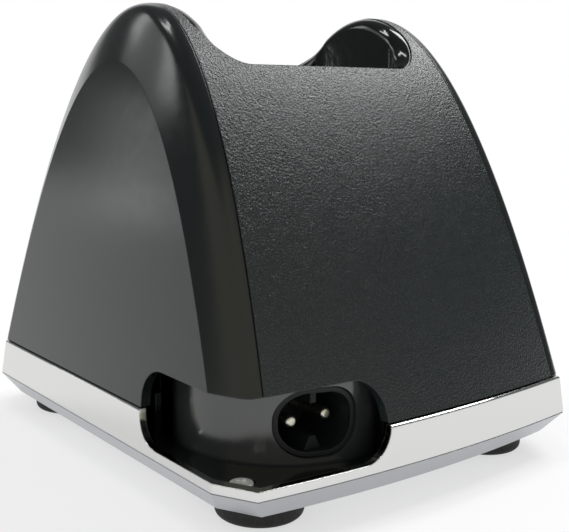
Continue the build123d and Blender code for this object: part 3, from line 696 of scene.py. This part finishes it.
class STAND_OT_finishes(Operator):
    """Materials of all the pieces"""
    bl_idname = "stand.finishes"
    bl_label = "Finishes"

    def execute(self, context):
        hues, sizes = context.scene.stand_colours, context.scene.stand_sizes
        edge, grain, wave = sizes.edge, sizes.grain / MM, sizes.plating_wave / MM
        # Each has its name and colour, its roughness and how far that varies, the width and the
        # depth of its grain in millimetres, and the radius worn on its edges.
        # ABS against a spark-eroded mould: charcoal, broken highlights that sparkle
        moulded_plastic("spark_textured_abs", hues.shell, 0.26, 0.12, grain, 0.12, edge, pits=0.8)
        # ABS against a smooth mould: long soft highlights, no grain to be seen
        moulded_plastic("smooth_abs", hues.cap, 0.18, 0.015, 4, 0.01, edge)
        # ABS against a polished mould: sharp highlights that break up along the roll
        moulded_plastic("polished_abs", hues.liner, 0.1, 0.02, 6, 0.05, edge)
        # ABS, smooth: a black wall that mirrors the pale table; its grey colour is painted sheen,
        # standing in for the light it shows where it turns to the table
        moulded_plastic("housing_abs_painted_sheen", hues.housing, 0.18, 0.02, 3, 0.01, 0.0, ior=1.8)
        # ABS with a dull moulded face: black sleeve whose edges hardly show
        moulded_plastic("inlet_abs", linear("101415"), 0.5, 0.05, 1.2, 0.02, edge, ior=1.4)
        # ABS against a polished plate: mirrors the housing faintly
        moulded_plastic("polished_floor_abs", hues.black, 0.14, 0.02, 4, 0.01, edge)
        # Bright chrome over moulded plastic: a mirror with shallow waves
        bare_metal("chrome_plate", hues.chrome, 0.07, 0.02, wave, 0.06, edge)
        # Satin silver paint: a soft metallic sheen without images in it
        bare_metal("satin_silver_paint", hues.tray, 0.34, 0.05, 2, 0.01, edge)
        # ABS, fine matt: flat dark plates
        moulded_plastic("matt_abs", hues.black, 0.45, 0.06, 0.8, 0.04, edge)
        # Steel sheet, rolled: long faint streaks
        bare_metal("rolled_steel", linear("a9abad"), 0.4, 0.08, 3, 0.02, edge, (1, 12, 1))
        # Brass, nickel-plated: bright with a warm tinge
        bare_metal("nickel_plate", linear("d9d5ca"), 0.3, 0.06, 4, 0.01, edge / 2)
        # Soft vinyl: a waxy sheen
        moulded_plastic("pvc_insulation", linear("5c4639"), 0.35, 0.05, 2, 0.01, edge)
        # Glass fibre in green epoxy: a faint weave
        moulded_plastic("epoxy_laminate", linear("2f6b45"), 0.4, 0.08, 1.2, 0.02, edge)
        # Steel plates under varnish: brownish, edges side by side
        bare_metal("varnished_laminations", linear("6b665c"), 0.45, 0.1, 1.2, 0.06, edge,
                   (1, 12, 1))
        # Adhesive polyester tape round a winding: yellow, glossy
        moulded_plastic("winding_tape", linear("b9922f"), 0.25, 0.05, 2, 0.02, edge)
        # Shrunk vinyl sleeve over a can: dark blue, glossy
        moulded_plastic("sleeved_can", linear("2a3a5a"), 0.3, 0.05, 3, 0.01, edge)
        # Spring wire, drawn: fine lines along it
        bare_metal("drawn_wire", linear("b4b4b4"), 0.3, 0.05, 1, 0.01, edge / 4)
        # Zinc on steel: pale grey with a dull shine
        bare_metal("zinc_plate", linear("f2f2ef"), 0.4, 0.08, 1.5, 0.03, edge / 2, clear=0.65)
        # Moulded rubber: no shine, a fine bloom
        moulded_plastic("moulded_rubber", hues.rubber, 0.7, 0.08, 0.9, 0.05, edge)
        return {"FINISHED"}


class STAND_OT_carried(Operator):
    """Finishes on the CAD nodes that keep their shape"""
    bl_idname = "stand.carried"
    bl_label = "CAD nodes"

    def execute(self, context):
        for entry in frame["record"]["subparts"]:
            node, slot = entry["node"], entry["material_slot"]
            give(frame["nodes"][node], bpy.data.materials[OWN_FINISH.get(node, FINISH[slot])])
        return {"FINISHED"}


# Stage

CAMERA_PLACE = Vector((143.11, 188.73, 82.2)) * MM
# In radians: the yaw turns right from looking along the depth, towards the rear
CAMERA_YAW = 3.80775
CAMERA_PITCH = -0.179
CAMERA_ROLL = 0.0165
CAMERA_LENS = 63.25
SENSOR = 36.0
FLOOR_RADIUS = 4.0
# The table is less white up to the first distance, where the shadow falls, by the share given
SHADOW_END, WHITE_START, SHADOW_WHITE = 0.1, 0.4, 0.6
LAMP_TARGET = Vector((0, 0, 0.05))
LAMP_DISTANCE = 0.75
# name, azimuth and elevation in degrees, width and height in metres, radiance
LAMPS = [
    ("large_softbox", 272, 50, 0.36, 0.33, 8.4),
    ("broad_softbox", 49, 36, 0.46, 0.26, 1.0),
    ("left_strip", 33, 37, 0.11, 0.22, 2.2),
    ("right_strip", 65, 38, 0.12, 0.24, 3.0),
    ("low_softbox", 34, 2, 0.07, 0.12, 1.5),
    ("upper_strip", 46, 70, 0.05, 0.20, 14.0),
    ("crown_strip", 12, 78, 0.20, 0.04, 12.0),
]
# Parts of the room that shiny faces mirror, each one or more patches laid over each other. A
# patch has its azimuth and elevation, and the angles from there at which it ends.
BACKDROP = [(322, 0, 34, 44)]
WARM_WALL = [(174, 0, 89, 91), (122, 0, 86, 94), (0, -90, 132, 140)]
WHITE = (1, 1, 1, 1)
TABLE, DARK_WALL, WARM, LIGHT = map(linear, ("f4f4f4", "6a6d6c", "cbc8b4", "cdcdcd"))


def direction(azimuth, elevation):
    """Unit vector towards an azimuth, 0 at the front and 90 on the notched side."""
    a, e = math.radians(azimuth), math.radians(elevation)
    return Vector((math.sin(a) * math.cos(e), -math.cos(a) * math.cos(e), math.sin(e)))


def seen_by(tree, *rays):
    """1 for the rays of these kinds."""
    paths = add(tree, "ShaderNodeLightPath").outputs
    seen = paths[rays[0]]
    for ray in rays[1:]:
        seen = add(tree, "ShaderNodeMath", {0: seen, 1: paths[ray]}, operation="MAXIMUM")
    return seen


class STAND_OT_stage(Operator):
    """Camera, pale floor, pale room and soft lamps"""
    bl_idname = "stand.stage"
    bl_label = "Stage"

    def execute(self, context):
        scene = context.scene
        scene.view_settings.view_transform = "Standard"
        self.camera(scene)
        self.floor()
        self.room(scene)
        for name, azimuth, elevation, width, height, radiance in LAMPS:
            lamp = bpy.data.lights.new(name, "AREA")
            lamp.shape = "RECTANGLE"
            lamp.size = width
            lamp.size_y = height
            lamp.energy = math.pi * width * height * radiance
            place = LAMP_TARGET + LAMP_DISTANCE * direction(azimuth, elevation)
            aim = (LAMP_TARGET - place).to_track_quat("-Z", "Y")
            new_object(name, lamp).matrix_world = Matrix.LocRotScale(place, aim, None)
        return {"FINISHED"}

    def camera(self, scene):
        data = bpy.data.cameras.new("camera")
        data.lens = CAMERA_LENS
        data.sensor_width = SENSOR
        data.clip_start = 0.01
        scene.camera = new_object("camera", data)
        scene.camera.matrix_world = (Matrix.Translation(CAMERA_PLACE)
                                     @ Matrix.Rotation(-CAMERA_YAW, 4, "Z")
                                     @ Matrix.Rotation(math.pi / 2 + CAMERA_PITCH, 4, "X")
                                     @ Matrix.Rotation(CAMERA_ROLL, 4, "Z"))

    def floor(self):
        mesh = new_mesh([])
        shape = bmesh.new()
        bmesh.ops.create_circle(shape, cap_ends=True, segments=96, radius=FLOOR_RADIUS)
        shape.to_mesh(mesh)
        shape.free()
        floor = new_object("floor", mesh)
        material, tree, place = new_material("pale_table")
        away = add(tree, "ShaderNodeVectorMath", {0: place}, operation="LENGTH")
        white_share = add(tree, "ShaderNodeMapRange", {
            "Value": away.outputs["Value"], "From Min": SHADOW_END, "From Max": WHITE_START,
            "To Min": SHADOW_WHITE, "To Max": 1.0}, interpolation_type="SMOOTHSTEP")
        seen = seen_by(tree, "Is Camera Ray", "Is Glossy Ray", "Is Transmission Ray")
        share = add(tree, "ShaderNodeMath", {0: seen, 1: white_share}, operation="MULTIPLY")
        matt = add(tree, "ShaderNodeBsdfDiffuse", {"Color": TABLE})
        white = add(tree, "ShaderNodeEmission", {"Color": WHITE, "Strength": 1.0})
        mixed = add(tree, "ShaderNodeMixShader", {0: share, 1: matt, 2: white})
        add(tree, "ShaderNodeOutputMaterial", {"Surface": mixed})
        give(floor, material)

    def room(self, scene):
        world = bpy.data.worlds.new("studio")
        scene.world = world
        world.use_nodes = True
        tree = world.node_tree
        tree.nodes.clear()
        way = add(tree, "ShaderNodeTexCoord").outputs["Generated"]

        def within(patches, share):
            """The share where all the patches lie over each other, fading to 0 outside."""
            for azimuth, elevation, inner, outer in patches:
                along = add(tree, "ShaderNodeVectorMath", {
                    0: way, 1: direction(azimuth, elevation)}, operation="DOT_PRODUCT")
                patch = add(tree, "ShaderNodeMapRange", {
                    "Value": along.outputs["Value"], "From Min": math.cos(math.radians(outer)),
                    "From Max": math.cos(math.radians(inner))}, interpolation_type="SMOOTHSTEP")
                share = add(tree, "ShaderNodeMath", {0: share, 1: patch}, operation="MULTIPLY")
            return share

        mirrored = seen_by(tree, "Is Glossy Ray", "Is Transmission Ray")
        white_share = add(tree, "ShaderNodeMath", {
            0: seen_by(tree, "Is Camera Ray"), 1: within(BACKDROP, mirrored)},
            operation="MAXIMUM")
        wall = add(tree, "ShaderNodeMix", {0: within(WARM_WALL, 1.0), 6: DARK_WALL, 7: WARM},
                   data_type="RGBA")
        light = add(tree, "ShaderNodeMix", {0: mirrored, 6: LIGHT, 7: wall.outputs[2]},
                    data_type="RGBA")
        soft = add(tree, "ShaderNodeBackground", {"Color": light.outputs[2], "Strength": 1.0})
        white = add(tree, "ShaderNodeBackground", {"Color": WHITE, "Strength": 1.0})
        mixed = add(tree, "ShaderNodeMixShader", {0: white_share, 1: soft, 2: white})
        add(tree, "ShaderNodeOutputWorld", {"Surface": mixed})


# One operator for each piece or group of like pieces

class STAND_OT_shell(Operator):
    """Textured front and rear in one arch, cut by the well and the notch"""
    bl_idname = "stand.shell"
    bl_label = "Main shell"

    def execute(self, context):
        form, sizes = context.scene.stand_form, context.scene.stand_sizes
        piece = ruled_piece("arch_shell", arch_rule(), "shell_textured", {
            "Crown": CROWN, "Band top": BAND_TOP, "Foot": BODY_FOOT,
            "Half depth": form.half_depth, "Bow": form.bow,
            "Seam half width": form.seam_half_width, "Wall": form.wall, "Gap": form.seam_gap,
            "Slope share": form.slope_share, "Seam lean": form.seam_lean,
            "Rows": sizes.rows, "Columns": sizes.columns})
        carve(piece, opening_mesh(form, 0.0, WELL_FLOOR))
        carve(piece, notch_mesh(form))
        # screw bosses, each with a web to the wall
        boss, boss_top, bore_top = mm(3.7, 24.4, 22.4)
        web_foot, web_top, web_end = mm(19.6, 24.3, 51.4)
        for x, y in SHELL_SCREWS:
            near, far = sorted((y, math.copysign(web_end, y)))
            carve(piece, block((x - form.wall / 2, near, web_foot),
                               (x + form.wall / 2, far, web_top)), "UNION")
            carve(piece, post((x, y), (BOSS_FOOT, boss), (boss_top, boss)), "UNION")
            carve(piece, post((x, y), (0.0, SCREW_BORE), (bore_top, SCREW_BORE)))
        finish_piece(piece, "shell_textured", "main_shell")
        return {"FINISHED"}


class STAND_OT_caps(Operator):
    """Glossy sides with a flat facet, and the tongues that slide under the shell"""
    bl_idname = "stand.caps"
    bl_label = "Side caps"

    def execute(self, context):
        form = context.scene.stand_form
        gap = form.seam_gap / 2
        first = gap / (form.facet_half_width - form.seam_half_width)
        # two depths in the wall, and two offsets beyond the seam
        flange = mm(1.2, 3.8), (gap, 1.6 * MM)
        tongue = mm(2.4, 3.75), mm(-3, 0.8)
        liner_room, room_depth = mm(0.6, 2)
        for name, turned in (("side_cap_right", False), ("side_cap_left", True)):
            piece = new_object(name, side_mesh(form, 0.0, BODY_FOOT, first))
            carve(piece, side_mesh(form, form.wall, BAND_FOOT, 0.0))
            carve(piece, arch_strip(form, *flange), "UNION")
            carve(piece, arch_strip(form, *tongue, start=0), "UNION")
            carve(piece, opening_mesh(form, liner_room, WELL_FLOOR - room_depth))
            if turned:
                piece.data.transform(Matrix.Rotation(math.pi, 4, "Z"))
            else:
                carve(piece, notch_mesh(form))
            finish_piece(piece, "cap_gloss", name)
        return {"FINISHED"}


class STAND_OT_liner(Operator):
    """Well with its rolled lip, which follows the arch, and its screw legs"""
    bl_idname = "stand.liner"
    bl_label = "Liner"

    def execute(self, context):
        form = context.scene.stand_form
        gap, rim, edge, cove = mm(0.2, 1.85, 0.3, 1)
        thickness, shoulder = mm(2, 72)
        floor, underside = WELL_FLOOR, WELL_FLOOR - thickness
        radius, roll = form.opening_radius - gap, form.lip_width - edge
        loop = rounded_loop(form.opening_width / 2 - gap, form.opening_depth / 2 - gap, radius)
        # height of the arch over the rim's outer edge, which the roll's height is taken from
        crown, half = CROWN - gap, form.half_depth - form.slope_share * gap
        rims = [crown - (crown - BAND_TOP) * (y / half) ** 2
                for _, y, _ in loop_ring(loop, radius, repeat(0.0))]
        stations = [(rim, repeat(underside)), (rim, repeat(shoulder)), (0.0, repeat(shoulder))]
        # insets and drops: the outer edge, worn round, then the roll, a quarter of an oval
        profile = arc(edge, edge, edge, 5, start=180)
        profile += arc(edge, form.lip_drop, roll, 24, start=-90, rise=form.lip_drop)[1:]
        stations += [(inset, [z - drop for z in rims]) for inset, drop in profile]
        stations += [(inset, repeat(z)) for inset, z in
                     arc(form.lip_width + cove, floor + cove, cove, 6, start=180)]
        piece = new_object("well_liner", rings_mesh([loop_ring(loop, radius - inset, heights)
                                                     for inset, heights in stations]))
        leg, bore_top, hole_x, hole_y = mm(4, 27, 13.06, 5.06)
        leg_top = underside + PAST
        for spot in LEGS:
            carve(piece, post(spot, (bore_top, SCREW_BORE), (LEG_FOOT, SCREW_BORE),
                              (LEG_FOOT, leg), (leg_top, leg)), "UNION")
        carve(piece, post(HOUSING_LEG, (HOUSING_TOP, leg), (leg_top, leg)), "UNION")
        carve(piece, block((-hole_x, -hole_y, underside - PAST), (hole_x, hole_y, floor + PAST)))
        finish_piece(piece, "liner_gloss", "cradle_liner")
        return {"FINISHED"}


class STAND_OT_base(Operator):
    """Plated band and the satin tray below it"""
    bl_idname = "stand.base"
    bl_label = "Band and tray"

    def execute(self, context):
        form, sizes = context.scene.stand_form, context.scene.stand_sizes
        lean, wall, edge = form.band_lean, form.band_wall, sizes.band_edge
        corners = [(0.0, BAND_FOOT), (lean, BAND_TOP), (lean + wall, BAND_TOP), (wall, BAND_FOOT)]
        band = new_object("plated_band", rings_mesh(
            [base_outline(form, inset, z)
             for inset, z in rounded(corners, (edge / 2, edge, edge / 2, 0))], ends=False))
        carve(band, notch_mesh(form))
        finish_piece(band, "band_chrome", "trim_band")

        # insets and heights up the bevel, over the rim inside the band and down to the floor
        rim, gap, step_down, floor = mm(0.06, 0.2, 1, 6.3)
        worn_across, worn_up, upright = mm(0.2, 0.15, 0.1)
        bevel, ledge, deck = form.tray_bevel, wall + gap, BAND_FOOT - step_down
        steps = [(bevel + worn_across, TRAY_FOOT), (bevel, TRAY_FOOT + worn_up),
                 (rim, BAND_FOOT - upright), (rim, BAND_FOOT), (ledge, BAND_FOOT), (ledge, deck),
                 (bevel + ledge, deck), (bevel + ledge, floor)]
        tray = new_object("satin_tray", rings_mesh([base_outline(form, *step) for step in steps]))
        screws = BASE_SCREWS + LEGS
        boss, head, head_top, shank = mm(4.2, 2.95, 6.5, 1.57)
        foot, thread, thread_foot = mm(9.05, 1.15, 6.8)
        bosses = [post(spot, (TRAY_FOOT + PAST, boss), (deck, boss)) for spot in screws]
        carve(tray, all_in_one(bosses), "UNION")
        wells = [post(spot, (0.0, head), (head_top, head), (head_top, shank), (FAR, shank))
                 for spot in screws]
        wells += [post(spot, (0.0, foot), (FOOT_TOP, foot)) for spot in FEET]
        wells.append(post(NOTCH_SCREW, (thread_foot, thread), (FAR, thread)))
        carve(tray, all_in_one(wells))
        finish_piece(tray, "tray_satin", "base_tray")
        return {"FINISHED"}


class STAND_OT_feet(Operator):
    """Four turned rubber feet with a dished sole"""
    bl_idname = "stand.feet"
    bl_label = "Feet"

    def execute(self, context):
        radius, bevel, dish = mm(8.85, 1.3, 0.4)
        dish_end, sole_start = radius * 0.6, radius * 0.68
        profile = [(0.0, dish), (dish_end, dish), (sole_start, 0.0),
                   *arc(radius - bevel, bevel, bevel, 8, start=-90),
                   (radius, FOOT_TOP), (0.0, FOOT_TOP)]
        piece = turned_piece("rubber_feet", profile, FEET, "foot_rubber")
        finish_piece(piece, "foot_rubber", "foot_rear_right", "foot_rear_left",
                     "foot_front_right", "foot_front_left", degrees=30)
        return {"FINISHED"}


class STAND_OT_contacts(Operator):
    """Two domed contacts that press down, and the two pins of the mains inlet"""
    bl_idname = "stand.contacts"
    bl_label = "Contacts and pins"

    def execute(self, context):
        edge, apart = mm(0.1, 7)
        stem, collar, dome = mm(1.5, 1.95, 1.2)
        low, high, tip = mm(36.7, 38.2, 43)
        profile = [(0.0, low), (collar - edge, low), (collar, low + edge), (collar, high - edge),
                   (collar - edge, high), (stem, high),
                   *arc(stem - dome, tip - dome, dome, 10), (0.0, tip)]
        for side, x in (("left", -apart), ("right", apart)):
            contact = "contact_" + side
            piece = turned_piece(contact, profile, [(x, 0)], "pin_nickel")
            finish_piece(piece, "pin_nickel", "contact_pin_" + side, body=contact, degrees=40)
            self.spring(side)

        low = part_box("mains_pin_left")[0]
        radius, reach, nose = mm(1.2, 15, 0.6)
        profile = [(0.0, 0.0), (radius - edge, 0.0), (radius, edge),
                   *arc(radius - nose, reach - nose, nose, 8), (0.0, reach)]
        places = [(x, low.y, low.z + radius) for x in MAINS_PINS]
        piece = turned_piece("mains_pins", profile, places, "pin_nickel", (-math.pi / 2, 0, 0))
        finish_piece(piece, "pin_nickel", "mains_pin_left", "mains_pin_right", degrees=40)
        return {"FINISHED"}

    def spring(self, side):
        """The solid spring's own shape, a cleaned copy of its CAD node."""
        node, joint = "contact_spring_" + side, f"contact_{side}_press"
        low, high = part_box(node)
        piece = new_object("spring_" + side, frame["nodes"][node].data.copy())
        clean(piece.data)
        finish_piece(piece, "spring_steel", node, degrees=40)
        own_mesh(piece)


def threaded(root, crest, low, high, pitch):
    """Profile points of a ridged shank, from low to high."""
    ridge = ((root, 0.3), (crest, 0.6), (crest, 0.7), (root, 1.0))
    return [(radius, low + (i + share) * pitch)
            for i in range(int((high - low) / pitch)) for radius, share in ridge]


class STAND_OT_screws(Operator):
    """Pan-head screws with a crossed recess"""
    bl_idname = "stand.screws"
    bl_label = "Screws"

    def execute(self, context):
        sunk, thickness, head, edge = mm(0.3, 1.7, 2.8, 0.5)
        neck, point, plain_end = mm(1.2, 0.5, 1)
        root, crest, pitch = mm(1.15, 1.45, 1.1)
        slot, wide, narrow, clear, deep = mm(0.8, 1.7, 1, 0.5, 0.6)
        foot, top = TRAY_FOOT + sunk, TRAY_FOOT + sunk + thickness
        for name, spots, tip in (("base_screws", BASE_SCREWS, 17.5 * MM),
                                 ("cradle_screws", LEGS, 24.5 * MM)):
            profile = [(0.0, foot), *arc(head - edge, foot + edge, edge, 5, start=-90),
                       (head, top), (neck, top),
                       *threaded(root, crest, top, tip - plain_end, pitch),
                       (point, tip), (0.0, tip)]
            # each screw stopped a little further round than the one before
            recesses = [cross_recess(spot, (foot - clear, wide), (foot + deep, narrow), slot,
                                     0.4 * i) for i, spot in enumerate(spots)]
            self.make(name, profile, spots, recesses)

        low, seat, high, start = mm(7, 9.3, 10.6, 0.3)
        head, edge, neck, point = mm(2.4, 0.6, 1, 0.6)
        root, crest, pitch = mm(0.85, 1.1, 0.8)
        slot, wide, narrow, clear, deep = mm(0.75, 1.55, 0.8, 0.5, 0.8)
        profile = [(0.0, low), (point, low), *threaded(root, crest, low + start, seat, pitch),
                   (neck, seat), (head, seat),
                   *arc(head - edge, high - edge, edge, 6), (0.0, high)]
        recess = cross_recess(NOTCH_SCREW, (high - deep, narrow), (high + clear, wide), slot,
                              math.radians(20))
        self.make("notch_screw", profile, [NOTCH_SCREW], [recess])
        return {"FINISHED"}

    def make(self, node, profile, spots, recesses):
        piece = turned_piece("shown_" + node, profile, spots, "screw_steel")
        carve(piece, all_in_one(recesses))
        finish_piece(piece, "screw_steel", node, degrees=30)


class STAND_OT_electronics(Operator):
    """Transformer with its stacked core and taped winding, and the capacitor"""
    bl_idname = "stand.electronics"
    bl_label = "Transformer and capacitor"

    def execute(self, context):
        sizes = context.scene.stand_sizes
        low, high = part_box("transformer")
        middle, size = (low + high) / 2, high - low
        # shares of the transformer's depth, of the distance between plates and of its width
        core_share, plate_share, winding_share = 0.6, 0.85, 0.56
        depth = size.y * core_share
        step = depth / sizes.plates
        core = ruled_piece("core_plates", stack_rule(), "transformer_core", {
            "Start": (middle.x, middle.y - depth / 2 + step / 2, middle.z), "Step": (0, step, 0),
            "Plate": (size.x, step * plate_share, size.z), "Plates": sizes.plates})
        finish_piece(core, "transformer_core", "transformer")
        radius, height, worn_foot, worn_top, worn_middle = mm(1.5, 9.6, 0.2, 0.4, 0.12)
        foot, top = low.z, low.z + height
        loop = rounded_loop(size.x * winding_share / 2, size.y / 2, radius, per_corner=6,
                            per_side=4)
        rings = [(worn_foot, foot), (0.0, foot + worn_foot), (0.0, top - worn_top),
                 (worn_middle, top - worn_middle), (worn_top, top)]
        mesh = rings_mesh([loop_ring(loop, radius - inset, repeat(z)) for inset, z in rings])
        mesh.transform(Matrix.Translation((middle.x, middle.y, 0)))
        winding = new_object("taped_winding", mesh)
        finish_piece(winding, "transformer_core", "transformer")
        give(winding, bpy.data.materials["winding_tape"])

        low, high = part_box("filter_capacitor")
        radius, top = (high.x - low.x) / 2, high.z
        # insets and depths below the top: a crimp, then the rim round the sunk lid
        shape = mm((0, 2.6), (0.35, 2.3), (0, 2), (0, 0.6), (0.2, 0.2), (0.6, 0), (0.8, 0.2))
        profile = [(0.0, low.z), (radius, low.z),
                   *[(radius - inset, top - down) for inset, down in shape],
                   (0.0, top - shape[-1][1])]
        can = turned_piece("capacitor", profile, [((low.x + high.x) / 2, (low.y + high.y) / 2)],
                           "capacitor_can")
        finish_piece(can, "capacitor_can", "filter_capacitor", degrees=40)
        return {"FINISHED"}


# In the order they run
STEPS = (STAND_OT_stage, STAND_OT_finishes, STAND_OT_carried, STAND_OT_shell, STAND_OT_caps,
         STAND_OT_liner, STAND_OT_base, STAND_OT_feet, STAND_OT_contacts, STAND_OT_screws,
         STAND_OT_electronics)


class STAND_PT_panel(Panel):
    """Lists the settings and the steps of the stand"""
    bl_idname = "STAND_PT_panel"
    bl_label = "Clipper charging stand"
    bl_space_type = "VIEW_3D"
    bl_region_type = "UI"
    bl_category = "Stand"

    def draw(self, context):
        scene = context.scene
        for group in (scene.stand_sizes, scene.stand_form, scene.stand_colours):
            box = self.layout.box()
            for name in group.__annotations__:
                box.prop(group, name)
        for step in STEPS:
            self.layout.operator(step.bl_idname)


CLASSES = (StandColours, StandForm, StandSizes, *STEPS, STAND_PT_panel)


def register():
    for item in CLASSES:
        bpy.utils.register_class(item)
    bpy.types.Scene.stand_colours = bpy.props.PointerProperty(type=StandColours)
    bpy.types.Scene.stand_form = bpy.props.PointerProperty(type=StandForm)
    bpy.types.Scene.stand_sizes = bpy.props.PointerProperty(type=StandSizes)


def unregister():
    del bpy.types.Scene.stand_colours, bpy.types.Scene.stand_form, bpy.types.Scene.stand_sizes
    for item in reversed(CLASSES):
        bpy.utils.unregister_class(item)


def main():
    register()
    bpy.ops.stand.stage()
    bpy.ops.stand.finishes()
    bpy.ops.stand.carried()
    bpy.ops.stand.shell()
    bpy.ops.stand.caps()
    bpy.ops.stand.liner()
    bpy.ops.stand.base()
    bpy.ops.stand.feet()
    bpy.ops.stand.contacts()
    bpy.ops.stand.screws()
    bpy.ops.stand.electronics()


if __name__ == "__main__":
    main()
